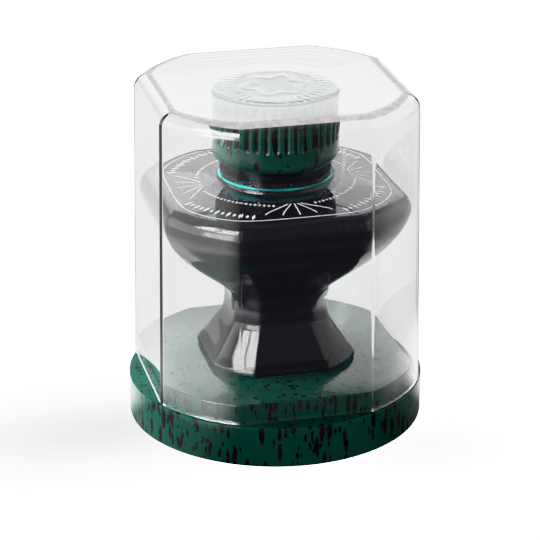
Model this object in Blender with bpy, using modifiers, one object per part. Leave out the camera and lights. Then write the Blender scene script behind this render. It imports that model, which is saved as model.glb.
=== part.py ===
"""An inkwell for a desk: a pedestal bottle of ink with a screw cap, on a flecked base, under a clear cover.

Frame: the origin is the centre of the base's underside, +Z is up, and the front flats face -Y.
Every faceted piece is a circle cut by four flats, and all of them face the same four ways.
All lengths are in metres.
"""

import math

import bmesh
import bpy

GAP = 0.0003  # kept between pieces that rest on each other or lie side by side
WELD = 0.000001  # points closer than this are one point

# Plan of the faceted pieces
FLAT_SHARE = 0.894  # a flat's distance from the axis, as a share of the corner radius
FLAT_STEPS = 4  # straight pieces across one flat
ARC_STEPS = 5  # straight pieces along the arc between two flats
QUARTER = math.pi / 2
TURN_STEPS = 64  # straight pieces round a turned shape

# Display base
BASE_RADIUS = 0.0375
BASE_RIM_HEIGHT = 0.0105
BASE_EDGE = 0.0004
PLATFORM_TOP = 0.0154
PLATFORM_CLEARANCE = 0.0005  # between the platform and the cover's wall
PLATFORM_EDGE = 0.0005

# Clear cover
COVER_FOOT = BASE_RIM_HEIGHT + GAP
COVER_FOOT_RADIUS = 0.0374  # to the corners, as are the other radii of faceted pieces
COVER_SHOULDER_RADIUS = 0.03625
COVER_TOP = 0.0866
COVER_ROUND = 0.00375
COVER_WALL = 0.0013
MEDALLION_RADIUS = 0.0176
MEDALLION_RIM = 0.0012
MEDALLION_RISE = 0.0005
MEDALLION_SINK = 0.0008  # how far it reaches down into the cover's top

# Ink bottle
BOTTLE_FOOT = PLATFORM_TOP + GAP
BOTTLE_WALL = 0.0024
FOOT_RADIUS = 0.0210
FOOT_EDGE = 0.0009
FLANK_TOP_RADIUS = 0.0145  # the foot's straight flank ends here
FLANK_TOP = 0.0255
WAIST_RADIUS = 0.0132  # of the two pulls that hollow the waist between the flank and the bowl
WAIST_LOW_PULL = 0.20
WAIST_HIGH_PULL = 0.66
BOWL_FOOT_RADIUS = 0.0144  # the bowl's underside starts here, with a crease
BOWL_FOOT = 0.0346
BOWL_RADIUS = 0.0344
BOWL_HEIGHT = 0.0564  # where the bowl is widest
BOWL_PULLS = (0.139, 0.191, 0.936, 0.547)  # shares of its spread and rise
SHOULDER_RADIUS = 0.0310
SHOULDER_HEIGHT = 0.0611
SHOULDER_MIDDLE_RADIUS = 0.0240
SHOULDER_INNER_RADIUS = 0.0172
SHOULDER_INNER_HEIGHT = 0.0621
COLLAR_RADIUS = 0.0139
COLLAR_FILLET = 0.0008
COLLAR_FOOT = 0.0632
COLLAR_TOP = 0.0695
NECK_RADIUS = 0.0126
MOUTH_RADIUS = 0.0100
MOUTH_HEIGHT = 0.0800
MOUTH_EDGE = 0.0004
CHANNEL_RADIUS = 0.0070  # the inside of the waist, where the glass is thickest
CHANNEL_FOOT = 0.0290
CHANNEL_TOP = 0.0300
CAVITY_PULLS = (0.10, 0.337, 0.94, 0.694)
INK_HEIGHT = 0.0662

# Screw cap and its liner
CAP_FOOT = 0.0684
CAP_TOP = 0.0838
CAP_RADIUS = 0.01575
CAP_FOOT_RADIUS = 0.0152
CAP_TAPER_HEIGHT = 0.0013
CAP_EDGE = 0.0005
CAP_BORE_RADIUS = 0.0143
CAP_CEILING = 0.0816
FLUTES = 40
FLUTE_FOOT = 0.0731
FLUTE_DEPTH = 0.0005
FLUTE_WIDTH = 0.0019
LINER_RADIUS = 0.0139
LINER_THICKNESS = 0.0010

# Screw thread: a round bead wound round the neck, and another round the cap's bore
THREAD_PITCH = 0.0035
NECK_THREAD_FOOT = 0.0712
NECK_THREAD_TURNS = 1.9
NECK_BEAD = 0.0010
CAP_THREAD_TURNS = 1.2
CAP_BEAD = 0.0011
THREAD_STEPS = 24  # straight pieces in one turn


# ---- building blocks


def collection_named(name):
    made = bpy.data.collections.new(name)
    bpy.context.scene.collection.children.link(made)
    return made


def add_object(name, mesh, collection):
    made = bpy.data.objects.new(name, mesh)
    collection.objects.link(made)
    return made


def material(name, color, roughness, transmission=0.0, ior=1.49):
    """A Principled BSDF for a dielectric."""
    made = bpy.data.materials.new(name)
    made.use_nodes = True
    shader = made.node_tree.nodes["Principled BSDF"]
    shader.inputs["Base Color"].default_value = (*color, 1.0)
    shader.inputs["Roughness"].default_value = roughness
    shader.inputs["Metallic"].default_value = 0.0
    shader.inputs["Transmission Weight"].default_value = transmission
    shader.inputs["IOR"].default_value = ior
    return made


def faceted_ring(radius, share=FLAT_SHARE):
    """(x, y) round a circle whose four flats lie at share times its radius; a share of 1 is a full circle."""
    half_angle = math.acos(FLAT_SHARE)
    flat = [half_angle * (2 * step / FLAT_STEPS - 1) for step in range(FLAT_STEPS)]
    arc = [half_angle + (QUARTER - 2 * half_angle) * step / ARC_STEPS for step in range(ARC_STEPS)]
    edge = math.cos(half_angle)
    points = []
    for quarter in range(4):
        for angle in flat + arc:
            reach = radius
            if abs(angle) < half_angle + WELD:
                # A share other than FLAT_SHARE bends the flat's line while its ends stay on the circle.
                straight = edge / math.cos(angle)
                bend = (1 - share) / (1 - edge)
                reach = radius * (1 - bend * (1 - straight))
            turned_angle = angle + quarter * QUARTER - QUARTER
            points.append((reach * math.cos(turned_angle), reach * math.sin(turned_angle)))
    return points


def ring_of(bm, radius, height, share):
    return [bm.verts.new((x, y, height)) for x, y in faceted_ring(radius, share)]


def loft(name, levels, collection, close_last=True):
    """A surface through (radius, height, share) levels, closed over the first and, if asked, the last."""
    bm = bmesh.new()
    rings = [ring_of(bm, *level) for level in levels]
    for lower, upper in zip(rings, rings[1:]):
        for i, vert in enumerate(lower):
            after = (i + 1) % len(lower)
            bm.faces.new((vert, lower[after], upper[after], upper[i]))
    bm.faces.new(reversed(rings[0]))
    if close_last:
        bm.faces.new(rings[-1])
    bmesh.ops.recalc_face_normals(bm, faces=bm.faces)
    mesh = bpy.data.meshes.new(name)
    bm.to_mesh(mesh)
    bm.free()
    return add_object(name, mesh, collection)


def turned(name, profile, collection):
    """A solid of revolution, from (radius, height) points down its outside that start and end on the axis."""
    mesh = bpy.data.meshes.new(name)
    points = [(radius, 0.0, height) for radius, height in profile]
    mesh.from_pydata(points, [(i, i + 1) for i in range(len(points) - 1)], [])
    made = add_object(name, mesh, collection)
    screw = made.modifiers.new("Turn", "SCREW")
    screw.axis = "Z"
    screw.steps = TURN_STEPS
    screw.render_steps = TURN_STEPS
    screw.use_merge_vertices = True
    screw.merge_threshold = WELD
    return made


def combine(target, tool, operation):
    boolean = target.modifiers.new(tool.name, "BOOLEAN")
    boolean.object = tool
    boolean.operation = operation
    boolean.solver = "EXACT"


def hide_tool(tool):
    tool.hide_render = True
    tool.display_type = "WIRE"
    return tool


def arc(center_radius, center_height, reach_out, reach_up, start, end, steps):
    """(radius, height) along an elliptical arc; angles are in degrees, 0 is outward and 90 is up."""
    points = []
    for step in range(steps + 1):
        angle = math.radians(start + (end - start) * step / steps)
        outward = center_radius + reach_out * math.cos(angle)
        points.append((outward, center_height + reach_up * math.sin(angle)))
    return points


def bezier(start, first_pull, second_pull, end, steps):
    """(radius, height) along a cubic Bezier curve, without its first point."""
    points = []
    for step in range(1, steps + 1):
        t = step / steps
        weights = ((1 - t) ** 3, 3 * t * (1 - t) ** 2, 3 * t**2 * (1 - t), t**3)
        corners = (start, first_pull, second_pull, end)
        points.append(tuple(sum(w * c[i] for w, c in zip(weights, corners)) for i in (0, 1)))
    return points


def inset(level, wall):
    """The level moved inwards by a wall, so that flats and arcs both move by the same distance."""
    radius, height, share = level
    return (radius - wall, height, (radius * share - wall) / (radius - wall))


def mesh_from_curve(curve_object):
    """A mesh object in place of a curve object, with its end caps welded on."""
    graph = bpy.context.evaluated_depsgraph_get()
    mesh = bpy.data.meshes.new_from_object(curve_object.evaluated_get(graph))
    bm = bmesh.new()
    bm.from_mesh(mesh)
    bmesh.ops.remove_doubles(bm, verts=bm.verts, dist=WELD)
    bmesh.ops.recalc_face_normals(bm, faces=bm.faces)
    bm.to_mesh(mesh)
    bm.free()
    name = curve_object.name
    made = add_object(name + "_mesh", mesh, curve_object.users_collection[0])
    made.matrix_world = curve_object.matrix_world
    bpy.data.objects.remove(curve_object)
    made.name = name
    return made


def flat_outline(name, points, bottom, top, collection):
    """A plate whose outline is a filled 2D curve through (x, y) points."""
    curve = bpy.data.curves.new(name, "CURVE")
    curve.dimensions = "2D"
    curve.fill_mode = "BOTH"
    curve.extrude = (top - bottom) / 2
    spline = curve.splines.new("POLY")
    spline.points.add(len(points) - 1)
    for point, (x, y) in zip(spline.points, points):
        point.co = (x, y, 0.0, 1.0)
    spline.use_cyclic_u = True
    plate = add_object(name, curve, collection)
    plate.location.z = (bottom + top) / 2
    bpy.context.view_layer.update()
    return mesh_from_curve(plate)


def thread_bead(name, radius, foot, turns, bead, collection):
    """A right-handed helical bead, round in section."""
    curve = bpy.data.curves.new(name, "CURVE")
    curve.dimensions = "3D"
    curve.bevel_depth = bead
    curve.bevel_resolution = 1
    curve.use_fill_caps = True
    steps = round(turns * THREAD_STEPS)
    spline = curve.splines.new("POLY")
    spline.points.add(steps)
    for step, point in enumerate(spline.points):
        turn = step / THREAD_STEPS
        angle = 2 * math.pi * turn
        height = foot + THREAD_PITCH * turn
        point.co = (radius * math.cos(angle), radius * math.sin(angle), height, 1.0)
    bead_object = add_object(name, curve, collection)
    bpy.context.view_layer.update()
    return mesh_from_curve(bead_object)


def finish(piece, origin_height, parent, look, smooth_angle=30.0):
    """Gives a piece its origin on the axis, its parent, its material and smooth shading."""
    for vert in piece.data.vertices:
        vert.co.z -= origin_height
    parent_height = parent.matrix_world.translation.z
    piece.parent = parent
    piece.location.z = origin_height - parent_height
    piece.data.materials.append(look)
    piece.data.shade_smooth()
    piece.data.set_sharp_from_angle(angle=math.radians(smooth_angle))
    bpy.context.view_layer.update()
    return piece


# ---- the pieces


def make_display_base(parts, tools, parent, look):
    """A turned disc with a faceted platform that the cover fits round."""
    rim = BASE_RADIUS - BASE_EDGE
    disc = [(0.0, BASE_RIM_HEIGHT)]
    disc += reversed(arc(rim, BASE_RIM_HEIGHT - BASE_EDGE, BASE_EDGE, BASE_EDGE, 0, 90, 3))
    disc += reversed(arc(rim, BASE_EDGE, BASE_EDGE, BASE_EDGE, -90, 0, 3))
    disc += [(0.0, 0.0)]
    base = turned("display_base", disc, parts)
    room = COVER_WALL + PLATFORM_CLEARANCE
    radius, _, share = inset((COVER_FOOT_RADIUS, 0.0, FLAT_SHARE), room)
    outline = faceted_ring(radius, share)
    platform = hide_tool(flat_outline("platform", outline, BASE_RIM_HEIGHT / 2, PLATFORM_TOP, tools))
    edge = platform.modifiers.new("Edge", "BEVEL")
    edge.width = PLATFORM_EDGE
    edge.segments = 2
    combine(base, platform, "UNION")
    return finish(base, 0.0, parent, look)


def cover_levels():
    """The cover's outer surface from its top plane down to its open foot."""
    wall_top = COVER_TOP - COVER_ROUND
    levels = []
    for step in range(5):
        angle = QUARTER * (1 - step / 4)
        rounding = COVER_ROUND * (1 - math.cos(angle))
        height = wall_top + COVER_ROUND * math.sin(angle)
        levels.append(inset((COVER_SHOULDER_RADIUS, height, FLAT_SHARE), rounding))
    levels.append((COVER_FOOT_RADIUS, COVER_FOOT, FLAT_SHARE))
    return levels


def make_clear_cover(parts, tools, parent, look):
    """A drafted shell, open below, with a raised round medallion on its top."""
    cover = loft("clear_cover", cover_levels(), parts, close_last=False)
    shell = cover.modifiers.new("Wall", "SOLIDIFY")
    shell.thickness = COVER_WALL
    shell.offset = -1.0
    shell.use_even_offset = True
    rim_top = COVER_TOP + MEDALLION_RISE
    rim_inside = MEDALLION_RADIUS - MEDALLION_RIM
    field = COVER_TOP + MEDALLION_RISE / 2
    profile = [(0.0, field), (rim_inside - MEDALLION_RISE, field), (rim_inside, rim_top)]
    profile += [(MEDALLION_RADIUS - MEDALLION_RISE, rim_top), (MEDALLION_RADIUS, COVER_TOP)]
    profile += [(MEDALLION_RADIUS, COVER_TOP - MEDALLION_SINK), (0.0, COVER_TOP - MEDALLION_SINK)]
    medallion = hide_tool(turned("medallion", profile, tools))
    combine(cover, medallion, "UNION")
    return finish(cover, COVER_FOOT, parent, look)


def bowl_curve(start, widest, pulls, steps):
    """(radius, height) from the waist to the bowl's widest part; pulls are shares of the spread and rise."""
    spread = widest[0] - start[0]
    rise = widest[1] - start[1]
    leave_waist = (start[0] + pulls[0] * spread, start[1] + pulls[1] * rise)
    reach_edge = (start[0] + pulls[2] * spread, start[1] + pulls[3] * rise)
    return bezier(start, leave_waist, reach_edge, widest, steps)


def bottle_side():
    """(radius, height) up the bottle's outside, from the foot's edge to the shoulder's border."""
    side = arc(FOOT_RADIUS - FOOT_EDGE, BOTTLE_FOOT + FOOT_EDGE, FOOT_EDGE, FOOT_EDGE, -90, 60, 4)
    flank_top = (FLANK_TOP_RADIUS, FLANK_TOP)
    bowl_foot = (BOWL_FOOT_RADIUS, BOWL_FOOT)
    low_pull = (WAIST_RADIUS, FLANK_TOP + WAIST_LOW_PULL * (BOWL_FOOT - FLANK_TOP))
    high_pull = (WAIST_RADIUS, FLANK_TOP + WAIST_HIGH_PULL * (BOWL_FOOT - FLANK_TOP))
    side += [flank_top]
    side += bezier(flank_top, low_pull, high_pull, bowl_foot, 5)
    side += bowl_curve(bowl_foot, (BOWL_RADIUS, BOWL_HEIGHT), BOWL_PULLS, 8)
    round_out = BOWL_RADIUS - SHOULDER_RADIUS
    round_up = SHOULDER_HEIGHT - BOWL_HEIGHT
    side += arc(SHOULDER_RADIUS, BOWL_HEIGHT, round_out, round_up, 18, 90, 4)
    return side


def middle_share(radius):
    """The share of a shoulder level: the border is faceted and the inner end is a full circle."""
    along = (radius - SHOULDER_INNER_RADIUS) / (SHOULDER_RADIUS - SHOULDER_INNER_RADIUS)
    return 1.0 - (1.0 - FLAT_SHARE) * along


def bottle_levels():
    """Levels over the bottle's whole surface: up the outside, over the mouth and down the inside."""
    outside = [(radius, height, FLAT_SHARE) for radius, height in bottle_side()]
    middle_height = (SHOULDER_HEIGHT + SHOULDER_INNER_HEIGHT) / 2
    shoulder = [(SHOULDER_MIDDLE_RADIUS, middle_height, middle_share(SHOULDER_MIDDLE_RADIUS))]
    shoulder += [(SHOULDER_INNER_RADIUS, SHOULDER_INNER_HEIGHT, 1.0)]
    neck = [
        (COLLAR_RADIUS + COLLAR_FILLET, COLLAR_FOOT - COLLAR_FILLET / 2),
        (COLLAR_RADIUS, COLLAR_FOOT + COLLAR_FILLET),
        (COLLAR_RADIUS, COLLAR_TOP),
        (NECK_RADIUS, COLLAR_TOP + GAP),
        (NECK_RADIUS, MOUTH_HEIGHT - MOUTH_EDGE),
        (NECK_RADIUS - MOUTH_EDGE, MOUTH_HEIGHT),
        (MOUTH_RADIUS + MOUTH_EDGE, MOUTH_HEIGHT),
        (MOUTH_RADIUS, MOUTH_HEIGHT - MOUTH_EDGE),
    ]
    neck = [(radius, height, 1.0) for radius, height in neck]
    return outside + shoulder + neck + list(reversed(cavity_levels()))


def cavity_levels(gap=0.0):
    """Levels up the bottle's inside into its neck, or with a gap, up the ink that fills it."""
    wall = BOTTLE_WALL + gap
    ceiling = SHOULDER_HEIGHT - wall
    channel = CHANNEL_RADIUS - gap
    bore = MOUTH_RADIUS - gap
    foot = inset((FOOT_RADIUS, BOTTLE_FOOT + wall, FLAT_SHARE), wall + FOOT_EDGE)
    # The flank slopes, so the fill keeps its distance there by moving further in.
    flank = inset((FOOT_RADIUS, BOTTLE_FOOT + BOTTLE_WALL + FOOT_EDGE, FLAT_SHARE), wall + gap / 2)
    widest = inset((BOWL_RADIUS, BOWL_HEIGHT - BOTTLE_WALL / 2, FLAT_SHARE), wall)
    border = inset((SHOULDER_RADIUS, ceiling, FLAT_SHARE), wall / 2)
    bowl = [(channel, CHANNEL_FOOT - gap / 2), (channel, CHANNEL_TOP + gap)]
    bowl += bowl_curve(bowl[-1], widest[:2], CAVITY_PULLS, 8)[:-1]
    levels = [foot, flank]
    levels += [(radius, height, FLAT_SHARE) for radius, height in bowl]
    levels += [widest, border]
    levels += [(bore + 2 * COLLAR_FILLET, ceiling + COLLAR_FILLET, 1.0)]
    levels += [(bore, ceiling + 3 * COLLAR_FILLET, 1.0)]
    return levels


def make_ink_bottle(parts, tools, parent, look):
    """The glass: a faceted foot, waist, bowl and shoulder, and a round neck with its thread."""
    bottle = loft("ink_bottle", bottle_levels(), parts)
    bead = thread_bead("neck_thread", NECK_RADIUS, NECK_THREAD_FOOT, NECK_THREAD_TURNS, NECK_BEAD, tools)
    combine(bottle, hide_tool(bead), "UNION")
    return finish(bottle, BOTTLE_FOOT, parent, look)


def make_ink_fill(parts, parent, look):
    """The ink, as a solid that fills the bottle up into its neck."""
    levels = cavity_levels(GAP)
    levels += [(MOUTH_RADIUS - GAP, INK_HEIGHT, 1.0)]
    ink = loft("ink_fill", levels, parts)
    return finish(ink, BOTTLE_FOOT + BOTTLE_WALL + GAP, parent, look)


def make_cap_liner(parts, parent, look):
    """The sealing disc between the cap's ceiling and the bottle's mouth."""
    bm = bmesh.new()
    ends = {"radius1": LINER_RADIUS, "radius2": LINER_RADIUS, "depth": LINER_THICKNESS}
    bmesh.ops.create_cone(bm, cap_ends=True, segments=TURN_STEPS, **ends)
    middle = MOUTH_HEIGHT + GAP + LINER_THICKNESS / 2
    bmesh.ops.translate(bm, verts=bm.verts, vec=(0.0, 0.0, middle))
    mesh = bpy.data.meshes.new("cap_liner")
    bm.to_mesh(mesh)
    bm.free()
    liner = add_object("cap_liner", mesh, parts)
    return finish(liner, middle, parent, look)


def flute_cutters(tools):
    """Forty upright rods with round lower ends, set so that each cuts one shallow flute."""
    rod = ((FLUTE_WIDTH / 2) ** 2 + FLUTE_DEPTH**2) / (2 * FLUTE_DEPTH)
    reach = CAP_RADIUS - FLUTE_DEPTH + rod
    bm = bmesh.new()
    for flute in range(FLUTES):
        angle = 2 * math.pi * (flute + 0.5) / FLUTES
        made = bmesh.ops.create_uvsphere(bm, u_segments=16, v_segments=6, radius=rod)
        upper = [vert for vert in made["verts"] if vert.co.z > WELD]
        bmesh.ops.translate(bm, verts=upper, vec=(0.0, 0.0, CAP_TOP - FLUTE_FOOT + rod))
        center = (reach * math.cos(angle), reach * math.sin(angle), FLUTE_FOOT + rod)
        bmesh.ops.translate(bm, verts=made["verts"], vec=center)
    mesh = bpy.data.meshes.new("flute_cutters")
    bm.to_mesh(mesh)
    bm.free()
    return hide_tool(add_object("flute_cutters", mesh, tools))


def make_screw_cap(parts, tools, parent, look):
    """A turned cup with forty flutes over a plain band, and the thread's other half inside."""
    profile = [(0.0, CAP_TOP)]
    profile += reversed(arc(CAP_RADIUS - CAP_EDGE, CAP_TOP - CAP_EDGE, CAP_EDGE, CAP_EDGE, 0, 90, 2))
    profile += [
        (CAP_RADIUS, CAP_FOOT + CAP_TAPER_HEIGHT),
        (CAP_FOOT_RADIUS, CAP_FOOT),
        (CAP_BORE_RADIUS, CAP_FOOT),
        (CAP_BORE_RADIUS, CAP_CEILING),
        (0.0, CAP_CEILING),
    ]
    cap = turned("screw_cap", profile, parts)
    foot = NECK_THREAD_FOOT + THREAD_PITCH / 2
    bead = thread_bead("cap_thread", CAP_BORE_RADIUS, foot, CAP_THREAD_TURNS, CAP_BEAD, tools)
    combine(cap, hide_tool(bead), "UNION")
    combine(cap, flute_cutters(tools), "DIFFERENCE")
    return finish(cap, CAP_FOOT, parent, look)


def make_inkwell():
    for old in list(bpy.data.objects):
        bpy.data.objects.remove(old)
    parts = collection_named("inkwell")
    tools = collection_named("cutters")
    frame = add_object("inkwell_frame", None, parts)

    flecked = material("flecked_green_plastic", (0.004, 0.12, 0.07), 0.15)
    clear = material("clear_plastic", (0.95, 0.96, 0.95), 0.02, transmission=1.0)
    glass = material("bottle_glass", (0.80, 0.82, 0.84), 0.02, transmission=1.0, ior=1.52)
    ink = material("ink", (0.008, 0.006, 0.012), 0.05)
    foam = material("liner_foam", (0.80, 0.80, 0.78), 0.6)

    base = make_display_base(parts, tools, frame, flecked)
    bottle = make_ink_bottle(parts, tools, base, glass)
    make_ink_fill(parts, bottle, ink)
    liner = make_cap_liner(parts, bottle, foam)
    make_screw_cap(parts, tools, liner, flecked)
    make_clear_cover(parts, tools, liner, clear)


make_inkwell()
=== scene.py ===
"""The looks of the inkwell: clear cover, ink bottle, flecked base and cap, and the studio round them.

Everything is in metres in the frame of the CAD model: the origin is the centre of the base's underside,
+Z is up and the front flats face -Y. Faceted pieces are circles cut by four flats, one facing each way.
"""

import math

import bmesh
import bpy
from mathutils import Matrix, Vector


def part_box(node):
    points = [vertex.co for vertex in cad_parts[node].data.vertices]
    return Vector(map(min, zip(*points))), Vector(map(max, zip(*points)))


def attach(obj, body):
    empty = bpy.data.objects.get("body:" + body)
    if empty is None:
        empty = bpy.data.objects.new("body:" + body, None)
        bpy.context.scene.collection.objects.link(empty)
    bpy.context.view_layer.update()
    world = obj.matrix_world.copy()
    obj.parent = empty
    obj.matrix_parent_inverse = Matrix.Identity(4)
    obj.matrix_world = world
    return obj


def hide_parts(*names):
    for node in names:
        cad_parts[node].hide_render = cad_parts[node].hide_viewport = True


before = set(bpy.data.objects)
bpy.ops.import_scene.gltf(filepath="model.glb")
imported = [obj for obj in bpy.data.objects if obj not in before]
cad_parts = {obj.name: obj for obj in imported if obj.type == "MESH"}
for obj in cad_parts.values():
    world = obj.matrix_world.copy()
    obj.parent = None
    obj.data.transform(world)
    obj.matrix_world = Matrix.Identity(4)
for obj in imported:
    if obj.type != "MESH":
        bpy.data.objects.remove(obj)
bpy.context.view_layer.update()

BASE_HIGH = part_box("display_base")[1]
BOTTLE_LOW, BOTTLE_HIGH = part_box("ink_bottle")
INK_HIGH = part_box("ink_fill")[1]
CAP_LOW, CAP_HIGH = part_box("screw_cap")
COVER_LOW, COVER_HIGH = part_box("clear_cover")

QUARTER = math.pi / 2
GAP = 0.0003  # between pieces that rest on each other, as in the CAD model

# Plan of the faceted pieces
FLAT_SHARE = 0.894  # a flat's distance from the axis, as a share of the corner radius
ROUND_SHARE = 1.10  # a share this large leaves a full circle
CORNER_ANGLE = math.acos(FLAT_SHARE)

# Display base
BASE_RADIUS = BASE_HIGH.x
RIM_HEIGHT = COVER_LOW.z - GAP
PLATFORM_TOP = BASE_HIGH.z
PLATFORM_RADIUS = 0.0356
PLATFORM_SHARE = 0.8876
PLATFORM_FILLET = 0.0003
BASE_EDGE = 0.0004
FOOT_BEVEL = 0.0001
PLATFORM_EDGE = 0.0004

# Clear cover
COVER_FOOT = COVER_LOW.z
COVER_TOP = COVER_HIGH.z - 0.0005
COVER_FOOT_RADIUS = COVER_HIGH.x / FLAT_SHARE
COVER_SHOULDER_RADIUS = COVER_FOOT_RADIUS - 0.00115
COVER_ROUND = 0.00375
COVER_WALL = 0.0013
COVER_CROWN = 0.00006  # how far the rounded edge stays below the flat top
COVER_CORNER = 0.0  # its upright corners are sharp
MEDALLION_RADIUS = 0.0176
MEDALLION_EDGE = 0.0023
MEDALLION_RISE = 0.00012
MEDALLION_STEPS = 85
ROSETTE_RADIUS = 0.0068
ROSETTE_PETALS = 6
RIB_RING_RADIUS = 0.0120
RIBS = 36
RIB_ENDS = (0.0008, 0.0022)  # distances from the ring at which a rib starts to sink and is gone
RIB_RISE = 0.00005
ROSETTE_WAVE = 0.16  # how far the petals reach past the rosette's radius, as a share
ROSETTE_LINE = 0.0020

# Ink bottle
BOTTLE_FOOT = BOTTLE_LOW.z
BOTTLE_WALL = 0.0024
BOTTLE_CORNER = 0.0003
FOOT_RADIUS = 0.0208
FOOT_EDGE = 0.0006
FLANK_TOP_RADIUS = 0.0145
FLANK_TOP = 0.0255
FLANK_FLARE = 0.0003  # how far the foot's flank turns outwards at its lower end
FLARE_LENGTH = 0.0035
WAIST_RADIUS = 0.0132
WAIST_LOW_PULL = 0.20
WAIST_HIGH_PULL = 0.66
BOWL_FOOT_RADIUS = 0.0144
BOWL_FOOT = 0.0346
BOWL_RADIUS = 0.0344
BOWL_HEIGHT = 0.0564
BOWL_PULLS = (0.139, 0.191, 0.936, 0.547)
SHOULDER_RADIUS = 0.0310
SHOULDER_HEIGHT = 0.0611
SHOULDER_INNER_RADIUS = 0.0160
SHOULDER_INNER_HEIGHT = 0.0621
SHOULDER_STEPS = (0.15, 0.4, 0.7, 0.94)
COLLAR_RADIUS = 0.0139
COLLAR_FILLET = 0.0013
COLLAR_TOP = 0.0695
COLLAR_EDGE = 0.0002
COLLAR_LEDGE = 0.0005  # how far above the collar the threaded part starts
NECK_RADIUS = 0.0126
MOUTH_RADIUS = 0.0100
MOUTH_HEIGHT = BOTTLE_HIGH.z
MOUTH_EDGE = 0.0005
CHANNEL_RADIUS = 0.0080
CHANNEL_FOOT = 0.0290
CHANNEL_TOP = 0.0300
CAVITY_PULLS = (0.10, 0.337, 0.94, 0.694)
BORE_FILLET = 0.0016
BORE_FILLET_RISE = 0.0022  # of the fillet's centre over the hollow's ceiling
INK_LEVEL = INK_HIGH.z
INK_WETTING = 0.00005  # how far the ink reaches into the glass, so that no air shows between them
# Where the ring of painted turquoise glint sits round the neck's foot
MENISCUS_RADIUS = 0.0141
MENISCUS_HEIGHT = 0.0638
MENISCUS_WIDTH = 0.00042

# Print on the shoulder
PRINT_LIFT = 0.00003
PRINT_FILM = 0.00002
BORDER_WIDTH = 0.00025
BORDER_INSET = 0.0008
BORDER_CORNER = 0.002
LEAF_WIDTH = 0.00026
LEAF_END = 0.0250  # its far end's distance from the axis
LEAF_LENGTH = 0.0062
LEAF_CLOSING = 0.75  # how much nearer to the fan's middle its inner end is, as a share
LEAF_SPREADS = (-0.34, -0.17, 0.0, 0.17, 0.34)
LOZENGE_STEP = math.radians(3.3)
# (distance from the axis, how many, the two lengths by turns, width)
LOZENGE_BANDS = ((0.0268, 13, (0.0029, 0.0017), 0.0008), (0.0198, 19, (0.0012, 0.0008), 0.0007))

# Screw cap and thread
CAP_FOOT = CAP_LOW.z
CAP_TOP = CAP_HIGH.z
CAP_RADIUS = CAP_HIGH.x
CAP_FOOT_RADIUS = 0.0152
CAP_TAPER = 0.0013
CAP_BORE_RADIUS = 0.0143
CAP_CEILING = 0.0816
CAP_EDGE = 0.0005
CAP_CHAMFER = 0.0002
CAP_BAND_EDGE = 0.0003  # how far above the tapered band the plain side starts
FLUTES = 40
FLUTE_FOOT = 0.0731
FLUTE_ROUND = 0.0016  # the height of a flute's rounded foot
FLUTE_DEPTH = 0.0005
FLUTE_WIDTH = 0.0019
THREAD_PITCH = 0.0035
NECK_THREAD_FOOT = 0.0712
NECK_THREAD_TURNS = 1.9
NECK_BEAD = 0.0010
CAP_THREAD_TURNS = 1.2
CAP_BEAD = 0.0011

# Colours and finish
GREEN_DARK = (0.0004, 0.140, 0.096)
GREEN_LIGHT = (0.0004, 0.200, 0.140)
# painted shade: the near-black colour deep in the cap's flutes
FLUTE_PAINTED_SHADE = (0.0, 0.006, 0.004)
# Flecks: (width, length, share kept, fill of their cell, shift), and their two end colours
LARGE_FLECKS = (0.00150, 0.0066, 0.60, 0.58, 3.1)
LARGE_FLECK_COLORS = ((0.034, 0.007, 0.017), (0.007, 0.005, 0.007))
LEVEL_FLECK_COLOR = (0.004, 0.014, 0.012)
SMALL_FLECKS = (0.00095, 0.0026, 0.40, 0.52, 9.4)
SMALL_FLECK_COLORS = ((0.020, 0.006, 0.011), (0.004, 0.005, 0.005))
# Clear bodies: refractive index, tint, and how much soft light and shade they let through
CLEAR_PLASTIC = (1.49, (1.0, 1.0, 1.0), (0.93, 0.93, 0.93))
BOTTLE_GLASS = (1.50, (0.97, 0.99, 0.99), (0.90, 0.92, 0.92))
# Stretches of height with a painted glow or painted-on darker glass: (low, high, soft, color)
# Painted highlight: the cover's rounded top edge glows grey-white, reaching lower at the front
COVER_PAINTED_GLOW = (COVER_TOP - 0.00070, COVER_TOP - 0.9 * COVER_CROWN, 0.9 * COVER_CROWN, (0.56, 0.55, 0.53))
# Painted shade: the glass along the bottle's foot edge is dark teal instead of clear
FOOT_PAINTED_SHADE = (0.0, BOTTLE_FOOT + 0.0009, 0.0006, (0.08, 0.26, 0.25))
# The collar's glass is painted darker and blue-grey just above the ink
COLLAR_DARKENING = (INK_LEVEL - 0.0008, COLLAR_TOP - 0.0003, 0.0004, (0.34, 0.42, 0.44))

# Studio light
WHITE_LEVEL = 3.2  # the backdrop and floor as the camera sees them
THROUGH_LEVEL = 1.05  # the same, seen through the clear pieces
FLOOR_SIZE = 12.0
FLOOR_DEPTH = 0.0002  # how far the floor lies below the base
FLOOR_FILL = 0.07  # light that matt surfaces get from the floor
SKY_FILL = 0.09  # light that matt surfaces get from all round above
SATIN_DEPTH = 0.0003  # the rim's top and the cap's top are satin; their walls are glossy
# What shiny pieces mirror, as (bearing, rise, level): bearing and rise are (low, high, soft) in radians,
# and a bearing of 0 lies straight behind the pieces, with the left negative
HIGH_STRIP = ((-2.30, -1.66, 0.12), (0.60, 0.86, 0.14), 20.0)
DIVIDER_BEARING = -1.95  # of a dark bar in the high strip
LOW_STRIP = ((-2.30, -1.90, 0.08), (0.11, 0.36, 0.11), 9.0)
LEFT_SIDE = ((-2.35, -1.15, 0.25), (0.0, 0.42, 0.2), 3.2)
RIGHT_SIDE = ((1.2, 2.3, 0.3), (0.0, 0.6, 0.2), 0.55)
BACKDROP_BEARING = (-0.55, 0.75, 0.25)
BACKDROP_RISE = (0.26, 0.50, 0.10)
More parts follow.
